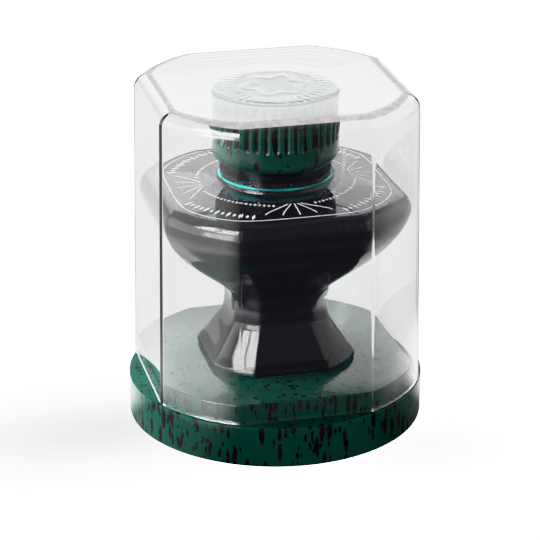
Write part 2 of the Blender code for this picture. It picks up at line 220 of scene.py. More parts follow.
# What shades matt surfaces, as (name, place, aim, size, radiance)
LAMPS = (
    ("left_light", (-0.42, 0.30, 0.22), (0.0, 0.0, 0.045), 0.30, 17.0),
    ("right_light", (0.17, 0.11, 0.012), (0.0, 0.0, 0.005), 0.06, 20.0),
    ("front_light", (-0.08, -0.15, 0.20), (0.0, 0.0, 0.07), 0.08, 4.8),
)

# Camera
CAMERA_AZIMUTH = math.radians(-13.745)  # from the front, with the left negative
CAMERA_ELEVATION = math.radians(22.217)
CAMERA_DISTANCE = 15.997 * BASE_RADIUS
CAMERA_AIM_RIGHT = -0.03465 * BASE_RADIUS
CAMERA_AIM_HEIGHT = 0.98237 * BASE_RADIUS
CAMERA_LENS = 157.64
CAMERA_SENSOR = 36.0

# The picture's response, as (scene level, shown level)
WHITE_POINT = 3.0
TONE_CURVE = ((0.0, 0.0), (0.6, 0.6), (0.8, 0.745), (1.0, 0.83), (1.4, 0.893), (2.0, 0.945), (3.0, 1.0))


# ---- meshes


def plan_angles():
    """Angles round the axis, close together at the eight corners where flats meet arcs."""
    close = [math.radians(offset) for offset in (-1.0, -0.5, -0.07, 0.07, 0.5, 1.0)]
    quarter = [QUARTER * (step / 56 - 0.5) for step in range(56)]
    for corner in (-CORNER_ANGLE, CORNER_ANGLE):
        quarter = [angle for angle in quarter if abs(angle - corner) > close[-1] * 1.3]
        quarter += [corner + offset for offset in close]
    quarter.sort()
    return [angle + turn * QUARTER - QUARTER for turn in range(4) for angle in quarter]


PLAN_ANGLES = plan_angles()


def even_angles(count):
    return [2 * math.pi * step / count for step in range(count)]


def smooth_min(a, b, width):
    return (a + b - math.sqrt((a - b) ** 2 + width**2)) / 2


def plan_reach(angle, radius, share, corner):
    """How far a faceted outline is from the axis at an angle."""
    from_flat = (angle + QUARTER / 2) % QUARTER - QUARTER / 2
    return smooth_min(radius, radius * share / math.cos(from_flat), corner)


def moved_angle(angle, share):
    """The angle at which an outline of another share has the same part of its flat or arc."""
    if share >= 1.0:
        return angle
    corner = math.acos(share)
    half = QUARTER / 2
    from_flat = (angle + half) % QUARTER - half
    size = abs(from_flat)
    if size <= CORNER_ANGLE:
        moved = size * corner / CORNER_ANGLE
    else:
        moved = half - (half - size) * (half - corner) / (half - CORNER_ANGLE)
    return angle - from_flat + math.copysign(moved, from_flat)


def faceted_ring(radius, height, share=FLAT_SHARE, corner=BOTTLE_CORNER):
    ring = []
    for angle in PLAN_ANGLES:
        turned = moved_angle(angle, share)
        reach = plan_reach(turned, radius, share, corner)
        ring.append((reach * math.cos(turned), reach * math.sin(turned), height))
    return ring


def round_ring(radius, height, angles):
    return [(radius * math.cos(angle), radius * math.sin(angle), height) for angle in angles]


def uneven_ring(angles, reach, height):
    """A ring with its own distance from the axis at each angle."""
    return [(r * math.cos(angle), r * math.sin(angle), height) for angle, r in zip(angles, reach)]


def add_rings(bm, rings):
    return [[bm.verts.new(point) for point in ring] for ring in rings]


def join_rings(bm, made):
    """Faces between each ring of vertices and the next."""
    for lower, upper in zip(made, made[1:]):
        for i, vert in enumerate(lower):
            after = (i + 1) % len(lower)
            bm.faces.new((vert, lower[after], upper[after], upper[i]))


def linked_piece(name, bm):
    """An object in the scene, made from a mesh that is finished."""
    mesh = bpy.data.meshes.new(name)
    bm.to_mesh(mesh)
    bm.free()
    piece = bpy.data.objects.new(name, mesh)
    bpy.context.scene.collection.objects.link(piece)
    return piece


def smooth_piece(name, bm, sharp_angle):
    """The same, shaded smooth up to an angle in degrees."""
    bmesh.ops.recalc_face_normals(bm, faces=bm.faces)
    piece = linked_piece(name, bm)
    piece.data.shade_smooth()
    piece.data.set_sharp_from_angle(angle=math.radians(sharp_angle))
    return piece


def skin(name, rings, sharp_angle=40.0):
    """A closed smooth piece through rings of equal length, with a flat end on the first and last."""
    bm = bmesh.new()
    made = add_rings(bm, rings)
    join_rings(bm, made)
    bm.faces.new(reversed(made[0]))
    bm.faces.new(made[-1])
    return smooth_piece(name, bm, sharp_angle)


def arc(center_radius, center_height, reach_out, reach_up, start, end, steps):
    """(radius, height) along an elliptical arc; angles are in degrees, 0 is outward and 90 is up."""
    points = []
    for step in range(steps + 1):
        angle = math.radians(start + (end - start) * step / steps)
        outward = center_radius + reach_out * math.cos(angle)
        points.append((outward, center_height + reach_up * math.sin(angle)))
    return points


def round_corner(center_radius, center_height, reach, start, end, steps):
    """The same along a circular arc."""
    return arc(center_radius, center_height, reach, reach, start, end, steps)


def bezier(start, first_pull, second_pull, end, steps):
    """(radius, height) along a cubic Bezier curve, without its first point."""
    points = []
    for step in range(1, steps + 1):
        t = step / steps
        weights = ((1 - t) ** 3, 3 * t * (1 - t) ** 2, 3 * t**2 * (1 - t), t**3)
        corners = (start, first_pull, second_pull, end)
        points.append(tuple(sum(w * c[i] for w, c in zip(weights, corners)) for i in (0, 1)))
    return points


def line(start, end, steps):
    """(radius, height) along a straight line, without its first point."""
    points = []
    for step in range(1, steps + 1):
        points.append(tuple(a + (b - a) * step / steps for a, b in zip(start, end)))
    return points


def flared_line(start, end, flare):
    """(radius, height) along a line that turns outwards at its lower end, without its first point."""
    foot = Vector(start)
    along = Vector(end) - foot
    step = along.normalized() * FLARE_LENGTH / 3
    outward = Vector((along.y, -along.x)).normalized() * flare
    straight = foot + step * 3
    curve = bezier(foot + outward, foot + step + outward / 3, foot + step * 2, straight, 8)
    return curve + line(straight, end, 4)


def inset_share(radius, share, wall):
    """The share of an outline whose flats and arcs have both moved inwards by a wall."""
    return (radius * share - wall) / (radius - wall)


def bead_height(angle, height, foot, turns, bead):
    """How far a helical thread's bead stands out of its wall at a point."""
    rise = 0.0
    for turn in range(-1, 4):
        along = turn + (angle % (2 * math.pi)) / (2 * math.pi)
        if not 0.0 <= along <= turns:
            continue
        across = height - foot - THREAD_PITCH * along
        fade = min(1.0, along / 0.08, (turns - along) / 0.08)
        rise = max(rise, fade * math.sqrt(max(0.0, bead**2 - across**2)))
    return rise


# ---- materials


class Nodes:
    """Short calls for building the node tree of a material or a world."""

    def __init__(self, owner):
        owner.use_nodes = True
        self.owner = owner
        self.tree = owner.node_tree
        self.tree.nodes.clear()
        kind = "World" if isinstance(owner, bpy.types.World) else "Material"
        self.output = self.tree.nodes.new("ShaderNodeOutput" + kind)

    def add(self, kind, inputs=None, **settings):
        node = self.tree.nodes.new(kind)
        for key, value in settings.items():
            setattr(node, key, value)
        for key, value in (inputs or {}).items():
            self.put(node.inputs[key], value)
        return node

    def put(self, socket, value):
        if isinstance(value, bpy.types.NodeSocket):
            self.tree.links.new(value, socket)
        elif isinstance(value, tuple) and len(value) == 3 and socket.type == "RGBA":
            socket.default_value = (*value, 1.0)
        else:
            socket.default_value = value

    def math(self, operation, first, second=0.0, clamp=False):
        node = self.add("ShaderNodeMath", operation=operation, use_clamp=clamp)
        self.put(node.inputs[0], first)
        self.put(node.inputs[1], second)
        return node.outputs[0]

    def vector(self, operation, first, second=None):
        inputs = {0: first} if second is None else {0: first, 1: second}
        return self.add("ShaderNodeVectorMath", inputs, operation=operation)

    def ramp(self, value, low, high, start=0.0, end=1.0):
        """start to end as value goes smoothly from low to high."""
        limits = {"Value": value, "From Min": low, "From Max": high, "To Min": start, "To Max": end}
        return self.add("ShaderNodeMapRange", limits, interpolation_type="SMOOTHSTEP").outputs[0]

    def mix_color(self, share, first, second):
        node = self.add("ShaderNodeMix", data_type="RGBA")
        self.put(node.inputs["Factor"], share)
        self.put(node.inputs[6], first)
        self.put(node.inputs[7], second)
        return node.outputs[2]

    def mix_shader(self, share, first, second):
        node = self.add("ShaderNodeMixShader")
        self.put(node.inputs[0], share)
        self.put(node.inputs[1], first)
        self.put(node.inputs[2], second)
        return node.outputs[0]

    def mix_number(self, share, first, second):
        node = self.add("ShaderNodeMix", data_type="FLOAT")
        self.put(node.inputs[0], share)
        self.put(node.inputs[2], first)
        self.put(node.inputs[3], second)
        return node.outputs[0]

    def place(self):
        """The point being shaded, in the piece's own frame."""
        return self.add("ShaderNodeTexCoord").outputs["Object"]

    def axis(self, vector, name):
        return self.add("ShaderNodeSeparateXYZ", {"Vector": vector}).outputs[name]

    def noise(self, place, scale, detail=2.0):
        inputs = {"Vector": place, "Scale": scale, "Detail": detail}
        return self.add("ShaderNodeTexNoise", inputs).outputs["Fac"]

    def bump(self, height, strength):
        inputs = {"Height": height, "Strength": strength, "Distance": 0.0002}
        return self.add("ShaderNodeBump", inputs).outputs[0]

    def finish(self, shader):
        self.tree.links.new(shader, self.output.inputs["Surface"])
        return self.owner


def material_nodes(name):
    return Nodes(bpy.data.materials.new(name))


def window(n, value, low, high, soft):
    """1 between low and high, falling off smoothly to 0 outside them."""
    rise = n.ramp(value, n.math("SUBTRACT", low, soft), low)
    fall = n.ramp(value, high, high + soft, 1.0, 0.0)
    return n.math("MULTIPLY", rise, fall)


def flute_shade(n, place, height):
    """How deep in a flute of the cap a point is, from 0 on the lands to 1 in the middle of a flute."""
    angle = n.math("ARCTAN2", n.axis(place, "Y"), n.axis(place, "X"))
    wave = n.math("COSINE", n.math("MULTIPLY", angle, float(FLUTES)))
    above_foot = n.ramp(height, FLUTE_FOOT - 0.0004, FLUTE_FOOT + 0.0005)
    return n.math("MULTIPLY", n.ramp(wave, -0.9, 0.1, 0.92, 0.0), above_foot)


def flecks(n, place, crowding, width, length, keep, fill, shift):
    """A mask of flecks and a random value for each, from cells of one width and length."""
    mapping = n.add("ShaderNodeMapping", {"Vector": place})
    mapping.inputs["Scale"].default_value = (1 / width, 1 / width, 1 / length)
    mapping.inputs["Location"].default_value = (shift, shift * 1.7, shift * 0.6)
    mapping.inputs["Rotation"].default_value = (0.05, -0.07, 0.0)
    cells = n.add("ShaderNodeTexVoronoi", {"Vector": mapping.outputs[0], "Scale": 1.0})
    random = n.add("ShaderNodeSeparateColor", {"Color": cells.outputs["Color"]}).outputs
    limit = n.math("MULTIPLY_ADD", random[1], fill * 0.6)
    n.put(limit.node.inputs[2], fill * 0.6)
    shape = n.ramp(n.math("SUBTRACT", limit, cells.outputs["Distance"]), 0.0, 0.16)
    chosen = n.math("LESS_THAN", random[0], n.math("MULTIPLY", crowding, keep))
    return n.math("MULTIPLY", shape, chosen), random[2]


def flecked_plastic():
    """Green plastic with dark flecks drawn out along +Z: streaks on the sides, dots on the level faces."""
    n = material_nodes("flecked_plastic")
    place = n.place()
    wobble = n.add("ShaderNodeTexNoise", {"Vector": place, "Scale": 620.0, "Detail": 2.0})
    shift = n.add("ShaderNodeVectorMath", operation="MULTIPLY_ADD")
    n.put(shift.inputs[0], wobble.outputs["Color"])
    n.put(shift.inputs[1], (0.0008, 0.0008, 0.0016))
    n.put(shift.inputs[2], place)
    height = n.axis(place, "Z")
    facing = n.add("ShaderNodeNewGeometry").outputs["Normal"]
    upward = n.math("GREATER_THAN", n.axis(facing, "Z"), 0.7)
    crowding = n.ramp(n.noise(place, 55.0, 1.0), 0.36, 0.54, 0.45, 1.0)
    sparse = n.math("MAXIMUM", upward, n.math("GREATER_THAN", height, CAP_FOOT))
    crowding = n.math("MULTIPLY", crowding, n.mix_number(sparse, 1.0, 0.36))
    large, large_tint = flecks(n, shift.outputs[0], crowding, *LARGE_FLECKS)
    small, small_tint = flecks(n, shift.outputs[0], crowding, *SMALL_FLECKS)

    green = n.mix_color(n.noise(place, 160.0, 3.0), GREEN_DARK, GREEN_LIGHT)
    large_color = n.mix_color(large_tint, *LARGE_FLECK_COLORS)
    large_color = n.mix_color(upward, large_color, LEVEL_FLECK_COLOR)
    color = n.mix_color(large, green, large_color)
    color = n.mix_color(small, color, n.mix_color(small_tint, *SMALL_FLECK_COLORS))
    # Painted shade: deep in a flute the colour goes nearly black and the plastic mirrors less
    in_flute = n.math("MULTIPLY", flute_shade(n, place, height), n.math("SUBTRACT", 1.0, upward))
    color = n.mix_color(in_flute, color, FLUTE_PAINTED_SHADE)
    # Painted shade: the platform's top is darkened, and the rim's top gets a painted shadow at the front
    on_platform = n.math("MULTIPLY", upward, n.math("GREATER_THAN", height, RIM_HEIGHT + SATIN_DEPTH))
    painted_rim_shadow = n.ramp(n.axis(place, "Y"), -0.034, -0.015, 0.70, 0.0)
    shade = n.mix_number(on_platform, n.math("MULTIPLY", upward, painted_rim_shadow), 0.40)
    shade = n.math("MULTIPLY", shade, n.math("LESS_THAN", height, CAP_FOOT))
    color = n.mix_color(shade, color, (0.0, 0.0, 0.0))

    grain = n.noise(place, 2400.0)
    near_rim = {0: height, 1: RIM_HEIGHT, 2: SATIN_DEPTH}
    on_rim = n.add("ShaderNodeMath", near_rim, operation="COMPARE").outputs[0]
    on_cap = n.math("GREATER_THAN", height, CAP_TOP - CAP_EDGE / 2)
    satin = n.math("MAXIMUM", on_rim, on_cap)
    rough = n.mix_number(satin, n.ramp(grain, 0.3, 0.7, 0.08, 0.14), 0.35)
    shader = n.add("ShaderNodeBsdfPrincipled", {"Base Color": color, "Roughness": rough, "IOR": 1.50})
    mirroring = n.mix_number(in_flute, n.mix_number(satin, 0.5, 0.06), 0.10)
    n.put(shader.inputs["Specular IOR Level"], mirroring)
    n.put(shader.inputs["Normal"], n.bump(grain, 0.03))
    return n.finish(shader.outputs[0])


def clear_body(name, ior, tint, see_through, bands=(), edge=None):
    """A clear refracting solid that lets light and soft shading pass through it as if it were thin.

    Each band, and the edge, is (low, high, soft, color): a stretch of height whose glass is painted
    darker, or one with a painted glow that stands in for a highlight on a rounded edge.
    """
    n = material_nodes(name)
    place = n.place()
    height = n.axis(place, "Z")
    color = tint
    # Painted shade: each band darkens the glass's colour over its stretch of height
    for band in bands:
        color = n.mix_color(window(n, height, *band[:3]), color, band[3])
    body = n.add("ShaderNodeBsdfGlass", {"Color": color, "Roughness": 0.0, "IOR": ior}).outputs[0]
    # Painted highlight: an emission over the edge's stretch of height, lower at the front
    if edge:
        strength = n.ramp(n.noise(place, 700.0), 0.35, 0.65, 0.85, 1.12)
        glow = n.add("ShaderNodeEmission", {"Color": edge[3], "Strength": strength}).outputs[0]
        frontness = n.math("DIVIDE", n.axis(place, "Y"), n.math("ABSOLUTE", n.axis(place, "X")))
        low = n.ramp(frontness, -1.4, -0.3, edge[0], edge[1] - 0.00010)
        share = n.math("MULTIPLY", window(n, height, low, *edge[1:3]), 0.85)
        body = n.mix_shader(share, body, glow)
    clear = n.add("ShaderNodeBsdfTransparent", {"Color": see_through})
    path = n.add("ShaderNodeLightPath")
    soft = n.math("MAXIMUM", path.outputs["Is Shadow Ray"], path.outputs["Is Diffuse Ray"])
    made = n.finish(n.mix_shader(soft, body, clear.outputs[0]))
    made.cycles.emission_sampling = "NONE"
    return made


def opaque(n, color, roughness, **more):
    """A Principled shader; the names in more have _ for each space."""
    inputs = {"Base Color": color, "Roughness": roughness}
    inputs.update((name.replace("_", " "), value) for name, value in more.items())
    return n.finish(n.add("ShaderNodeBsdfPrincipled", inputs).outputs[0])


def ink_liquid():
    """Ink that lets no light through; a faint painted violet glow stands in for the little light that
    comes back.
    """
    n = material_nodes("ink")
    color = n.mix_color(n.noise(n.place(), 60.0), (0.0045, 0.0030, 0.0060), (0.0070, 0.0050, 0.0100))
    violet = (0.0045, 0.0030, 0.0062)
    # painted light: the ink's faint violet emission
    made = opaque(n, color, 0.25, IOR=1.10, Emission_Color=violet, Emission_Strength=1.0)
    made.cycles.emission_sampling = "NONE"
    return made


def printed_white():
    """White ink with a painted glow, standing in for how bright print looks under the bright studio light.
    """
    n = material_nodes("print_white")
    wear_and_glow = n.noise(n.place(), 900.0)
    color = n.mix_color(wear_and_glow, (0.70, 0.70, 0.70), (0.90, 0.90, 0.89))
    # Painted light: the print's emission, stronger where the same noise makes it whiter
    strength = n.ramp(wear_and_glow, 0.3, 0.6, 0.38, 0.70)
    return opaque(n, color, 0.4, Emission_Color=(1.0, 1.0, 1.0), Emission_Strength=strength)


def meniscus_glint_material():
    """A painted glint: turquoise emission standing in for thin ink lit through the glass, strongest on the
    left and coming and going.
    """
    n = material_nodes("painted_meniscus_glint")
    place = n.place()
    across = n.axis(place, "X")
    on_left = n.ramp(across, -0.0120, 0.0040, 1.1, 0.25)
    on_right = n.ramp(across, 0.0060, 0.0125, 0.0, 0.6)
    patches = n.ramp(n.noise(place, 150.0, 1.0), 0.40, 0.60, 0.15, 1.0)
    glow = n.math("MULTIPLY", patches, n.math("MAXIMUM", on_left, on_right))
    return opaque(n, (0.0, 0.30, 0.30), 0.12, Emission_Color=(0.01, 0.62, 0.62), Emission_Strength=glow)


def liner_foam():
    n = material_nodes("liner_foam")
    pores = n.add("ShaderNodeTexVoronoi", {"Vector": n.place(), "Scale": 2500.0}).outputs["Distance"]
    color = n.mix_color(pores, (0.62, 0.62, 0.60), (0.85, 0.85, 0.83))
    return opaque(n, color, 0.8, Normal=n.bump(pores, 0.3))


# ---- the pieces


def dress(piece, body, material, material_slot, *nodes):
    piece.data.materials.clear()
    piece.data.materials.append(material)
    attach(piece, body)
    if nodes:
        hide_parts(*nodes)
    return piece


def make_base(material):
    """One turned block: a round disc, and on it the faceted platform that the cover fits round."""
    rim = BASE_RADIUS - BASE_EDGE
    disc = round_corner(BASE_RADIUS - FOOT_BEVEL, FOOT_BEVEL, FOOT_BEVEL, -90, 0, 4)
    disc += round_corner(rim, RIM_HEIGHT - BASE_EDGE, BASE_EDGE, 0, 90, 6)
    rings = [faceted_ring(radius, height, ROUND_SHARE, 0.0) for radius, height in disc]
    fillet_center = (PLATFORM_RADIUS + PLATFORM_FILLET, RIM_HEIGHT + PLATFORM_FILLET)
    platform = round_corner(*fillet_center, PLATFORM_FILLET, 270, 180, 3)
    edge = PLATFORM_RADIUS - PLATFORM_EDGE
    platform += round_corner(edge, PLATFORM_TOP - PLATFORM_EDGE, PLATFORM_EDGE, 0, 90, 5)
    rings += [faceted_ring(radius, height, PLATFORM_SHARE) for radius, height in platform]
    return dress(skin("base_block", rings, 60.0), "base", material, "flecked_plastic", "display_base")


def smooth_step(value, low, high):
    share = min(1.0, max(0.0, (value - low) / (high - low)))
    return share * share * (3 - 2 * share)


def medallion_relief(x, y):
    """How far the cover's top stands up at a point: a low disc with a rosette and a ring of ribs."""
    radius = math.hypot(x, y)
    angle = math.atan2(y, x)
    disc = smooth_step(MEDALLION_RADIUS - radius, 0.0, MEDALLION_EDGE)
    rosette_radius = ROSETTE_RADIUS * (1 + ROSETTE_WAVE * math.cos(ROSETTE_PETALS * angle))
    rosette = 1.0 - smooth_step(abs(radius - rosette_radius), 0.0, ROSETTE_LINE)
    rib_band = 1.0 - smooth_step(abs(radius - RIB_RING_RADIUS), *RIB_ENDS)
    ribs = rib_band * (0.5 + 0.5 * math.cos(RIBS * angle))
    return MEDALLION_RISE * disc + RIB_RISE * max(rosette, ribs)


def cover_ring(moved_in, height, radius=COVER_SHOULDER_RADIUS):
    """The cover's outline, moved inwards."""
    share = inset_share(radius, FLAT_SHARE, moved_in)
    return faceted_ring(radius - moved_in, height, share, COVER_CORNER)


def make_cover(material):
    """The clear shell: drafted walls, a rounded top edge and the medallion's relief on top."""
    wall_top = COVER_TOP - COVER_ROUND - COVER_CROWN
    outside = [cover_ring(0.0, COVER_FOOT, COVER_FOOT_RADIUS)]
    for radius, height in round_corner(0.0, wall_top, COVER_ROUND, 0, 90, 12):
        outside.append(cover_ring(COVER_ROUND - radius, height))
    for inward, drop in ((0.0005, 0.6), (0.0010, 0.15), (0.0016, 0.0)):
        outside.append(cover_ring(COVER_ROUND + inward, COVER_TOP - COVER_CROWN * drop))
    edge_radius = COVER_SHOULDER_RADIUS - COVER_ROUND
    edge_share = inset_share(COVER_SHOULDER_RADIUS, FLAT_SHARE, COVER_ROUND)
    outside.append(faceted_ring(edge_radius * 0.75, COVER_TOP, edge_share + 0.10, COVER_CORNER))
    for step in range(MEDALLION_STEPS - 1):
        radius = (MEDALLION_RADIUS + 0.0004) * (1 - step / MEDALLION_STEPS)
        ring = round_ring(radius, COVER_TOP, PLAN_ANGLES)
        outside.append([(x, y, z + medallion_relief(x, y)) for x, y, z in ring])
    inside = [faceted_ring(edge_radius * 0.5, COVER_TOP - COVER_WALL, ROUND_SHARE, COVER_CORNER)]
    for radius, height in round_corner(0.0, wall_top, COVER_ROUND - COVER_WALL, 90, 0, 10):
        inside.append(cover_ring(COVER_ROUND - radius, height))
    inside.append(cover_ring(COVER_WALL, COVER_FOOT, COVER_FOOT_RADIUS))
    bm = bmesh.new()
    over, under = add_rings(bm, outside), add_rings(bm, inside)
    for made in (over, under, [under[-1], over[0]]):
        join_rings(bm, made)
    bm.faces.new(over[-1])
    bm.faces.new(reversed(under[0]))
    return dress(smooth_piece("cover_shell", bm, 16), "cover", material, "clear_plastic", "clear_cover")


def bowl_curve(start, widest, pulls, steps):
    """(radius, height) from the waist to the widest part; pulls are shares of the spread and rise."""
    spread = widest[0] - start[0]
    rise = widest[1] - start[1]
    leave_waist = (start[0] + pulls[0] * spread, start[1] + pulls[1] * rise)
    reach_edge = (start[0] + pulls[2] * spread, start[1] + pulls[3] * rise)
    return bezier(start, leave_waist, reach_edge, widest, steps)


def bottle_side():
    """(radius, height) up the bottle's outside, from the foot's edge to the shoulder's border."""
    side = round_corner(FOOT_RADIUS - FOOT_EDGE, BOTTLE_FOOT + FOOT_EDGE, FOOT_EDGE, -90, 50, 8)
    flank_top = (FLANK_TOP_RADIUS, FLANK_TOP)
    bowl_foot = (BOWL_FOOT_RADIUS, BOWL_FOOT)
    low_pull = (WAIST_RADIUS, FLANK_TOP + WAIST_LOW_PULL * (BOWL_FOOT - FLANK_TOP))
    high_pull = (WAIST_RADIUS, FLANK_TOP + WAIST_HIGH_PULL * (BOWL_FOOT - FLANK_TOP))
    side += flared_line(side[-1], flank_top, FLANK_FLARE)
    side += bezier(flank_top, low_pull, high_pull, bowl_foot, 16)
    side += bowl_curve(bowl_foot, (BOWL_RADIUS, BOWL_HEIGHT), BOWL_PULLS, 36)
    round_out = BOWL_RADIUS - SHOULDER_RADIUS
    round_up = SHOULDER_HEIGHT - BOWL_HEIGHT
    side += arc(SHOULDER_RADIUS, BOWL_HEIGHT, round_out, round_up, 4, 90, 14)
    return side


def shoulder_height(along):
    """Height of the shoulder, where along runs from 0 at its border to 1 at its inner ring."""
    return SHOULDER_HEIGHT + (SHOULDER_INNER_HEIGHT - SHOULDER_HEIGHT) * along


def shoulder_point(angle, radius, lift=0.0):
    """The point of the shoulder's surface at an angle and a distance from the axis."""
    border = plan_reach(angle, SHOULDER_RADIUS, FLAT_SHARE, BOTTLE_CORNER)
    along = (border - radius) / (border - SHOULDER_INNER_RADIUS)
    return (radius * math.cos(angle), radius * math.sin(angle), shoulder_height(along) + lift)


def shoulder_ring(along):
    ring = []
    for angle in PLAN_ANGLES:
        border = plan_reach(angle, SHOULDER_RADIUS, FLAT_SHARE, BOTTLE_CORNER)
        radius = border + (SHOULDER_INNER_RADIUS - border) * along
        ring.append(shoulder_point(angle, radius))
    return ring


def cavity_rings(spare=0.0):
    """Rings up the bottle's inside, moved outwards by spare."""
    wall = BOTTLE_WALL - spare
    floor = BOTTLE_FOOT + wall
    ceiling = SHOULDER_HEIGHT - wall
    channel = CHANNEL_RADIUS + spare
    flank = (FOOT_RADIUS - wall, BOTTLE_FOOT + BOTTLE_WALL + FOOT_EDGE)
    foot_share = inset_share(FOOT_RADIUS, FLAT_SHARE, wall)
    rings = [faceted_ring(flank[0] - FOOT_EDGE, floor, foot_share)]
    rings.append(faceted_ring(*flank, foot_share))
    side = line(flank, (channel, CHANNEL_FOOT + spare / 2), 12) + [(channel, CHANNEL_TOP - spare)]
    widest = (BOWL_RADIUS - wall, BOWL_HEIGHT - BOTTLE_WALL / 2)
    widest_share = inset_share(BOWL_RADIUS, FLAT_SHARE, wall)
    side += bowl_curve(side[-1], widest, CAVITY_PULLS, 30)
    rings += [faceted_ring(radius, height, widest_share) for radius, height in side]
    border_share = inset_share(SHOULDER_RADIUS, FLAT_SHARE, wall / 2)
    border = SHOULDER_RADIUS - wall / 2
    top = arc(border, widest[1], widest[0] - border, ceiling - widest[1], 10, 90, 8)
    rings += [faceted_ring(radius, height, border_share) for radius, height in top]
    bore = MOUTH_RADIUS + spare
    neck = round_corner(bore + BORE_FILLET, ceiling + BORE_FILLET_RISE, BORE_FILLET, 270, 180, 5)
    rings += [faceted_ring(radius, height, ROUND_SHARE) for radius, height in neck]
    return rings


def make_bottle(material):
    """The glass, as one closed surface: up the outside, over the mouth and down the inside."""
    rings = [faceted_ring(radius, height) for radius, height in bottle_side()]
    rings += [shoulder_ring(along) for along in SHOULDER_STEPS]
    fillet_center = (COLLAR_RADIUS + COLLAR_FILLET, SHOULDER_INNER_HEIGHT + COLLAR_FILLET)
    neck = round_corner(*fillet_center, COLLAR_FILLET, 250, 180, 6)
    neck += line(neck[-1], (COLLAR_RADIUS, COLLAR_TOP), 4)
    neck += [(NECK_RADIUS + COLLAR_EDGE, COLLAR_TOP + COLLAR_EDGE)]
    rings += [faceted_ring(radius, height, ROUND_SHARE, 0.0) for radius, height in neck]
    thread_foot = COLLAR_TOP + COLLAR_LEDGE
    thread_top = MOUTH_HEIGHT - MOUTH_EDGE
    for step in range(61):
        height = thread_foot + (thread_top - thread_foot) * step / 60
        reach = [
            NECK_RADIUS + bead_height(angle, height, NECK_THREAD_FOOT, NECK_THREAD_TURNS, NECK_BEAD)
            for angle in PLAN_ANGLES
        ]
        rings.append(uneven_ring(PLAN_ANGLES, reach, height))
    lip = round_corner(NECK_RADIUS - MOUTH_EDGE, thread_top, MOUTH_EDGE, 0, 90, 4)[1:]
    lip += round_corner(MOUTH_RADIUS + MOUTH_EDGE, thread_top, MOUTH_EDGE, 90, 180, 4)
    rings += [faceted_ring(radius, height, ROUND_SHARE, 0.0) for radius, height in lip]
    rings += reversed(cavity_rings())
    return dress(skin("bottle_glass_body", rings), "bottle", material, "bottle_glass", "ink_bottle")


def make_ink(material):
    rings = cavity_rings(INK_WETTING)
    rings.append(faceted_ring(MOUTH_RADIUS + INK_WETTING, INK_LEVEL, ROUND_SHARE))
    return dress(skin("ink_body", rings), "bottle", material, "ink", "ink_fill")


def flute_depth(angle, height):
    """How deep the nearest flute cuts the cap's side at a point."""
    rod = ((FLUTE_WIDTH / 2) ** 2 + FLUTE_DEPTH**2) / (2 * FLUTE_DEPTH)
    pitch = 2 * math.pi / FLUTES
    across = ((angle % pitch) - pitch / 2) * CAP_RADIUS
    below = max(0.0, FLUTE_FOOT + rod - height)
    away = across**2 + below**2
    return max(0.0, math.sqrt(max(0.0, rod**2 - away)) - (rod - FLUTE_DEPTH))


def cap_outside():
    """Rings up the cap's outside: a plain band, flutes with round feet, and a bevelled top edge."""
    angles = even_angles(FLUTES * 14)
    taper_top = CAP_FOOT + CAP_TAPER
    band = [
        (CAP_BORE_RADIUS + 0.0003, CAP_FOOT),
        (CAP_FOOT_RADIUS - CAP_CHAMFER, CAP_FOOT),
        (CAP_FOOT_RADIUS, CAP_FOOT + CAP_CHAMFER),
        (CAP_RADIUS - CAP_CHAMFER / 2, taper_top),
        (CAP_RADIUS, taper_top + CAP_BAND_EDGE),
        (CAP_RADIUS, FLUTE_FOOT - CAP_CHAMFER),
    ]
    rings = [round_ring(radius, height, angles) for radius, height in band]
    fluted_top = CAP_TOP - CAP_EDGE
    above_foot = FLUTE_FOOT + FLUTE_ROUND
    heights = [FLUTE_FOOT + FLUTE_ROUND * step / 12 for step in range(13)]
    heights += [above_foot + (fluted_top - above_foot) * step / 6 for step in range(1, 7)]
    for height in heights:
        reach = [CAP_RADIUS - flute_depth(angle, height) for angle in angles]
        rings.append(uneven_ring(angles, reach, height))
    for radius, height in round_corner(CAP_RADIUS - CAP_EDGE, fluted_top, CAP_EDGE, 15, 90, 5):
        share = (CAP_TOP - height) / CAP_EDGE
        reach = [radius - share * flute_depth(angle, fluted_top) for angle in angles]
        rings.append(uneven_ring(angles, reach, height))
    return rings


def cap_bore():
    """Rings up the cap's threaded bore."""
    angles = even_angles(144)
    thread_foot = NECK_THREAD_FOOT + THREAD_PITCH / 2
    rings = []
    for step in range(49):
        height = CAP_FOOT + (CAP_CEILING - CAP_FOOT) * step / 48
        reach = [
            CAP_BORE_RADIUS - bead_height(angle, height, thread_foot, CAP_THREAD_TURNS, CAP_BEAD)
            for angle in angles
        ]
        rings.append(uneven_ring(angles, reach, height))
    return rings


def make_cap(material):
    """The cup: its outside and its threaded bore, joined at the foot."""
    bm = bmesh.new()
    outside = add_rings(bm, cap_outside())
    join_rings(bm, outside)
    bm.faces.new(outside[-1])
    bore = add_rings(bm, cap_bore())
    join_rings(bm, bore[::-1])
    bm.faces.new(bore[-1])
    foot_edges = []
    for ring in (outside[0], bore[0]):
        foot_edges += [bm.edges.get((vert, ring[i - 1])) for i, vert in enumerate(ring)]
    bmesh.ops.bridge_loops(bm, edges=foot_edges)
    return dress(smooth_piece("cap_cup", bm, 32), "cap", material, "flecked_plastic", "screw_cap")


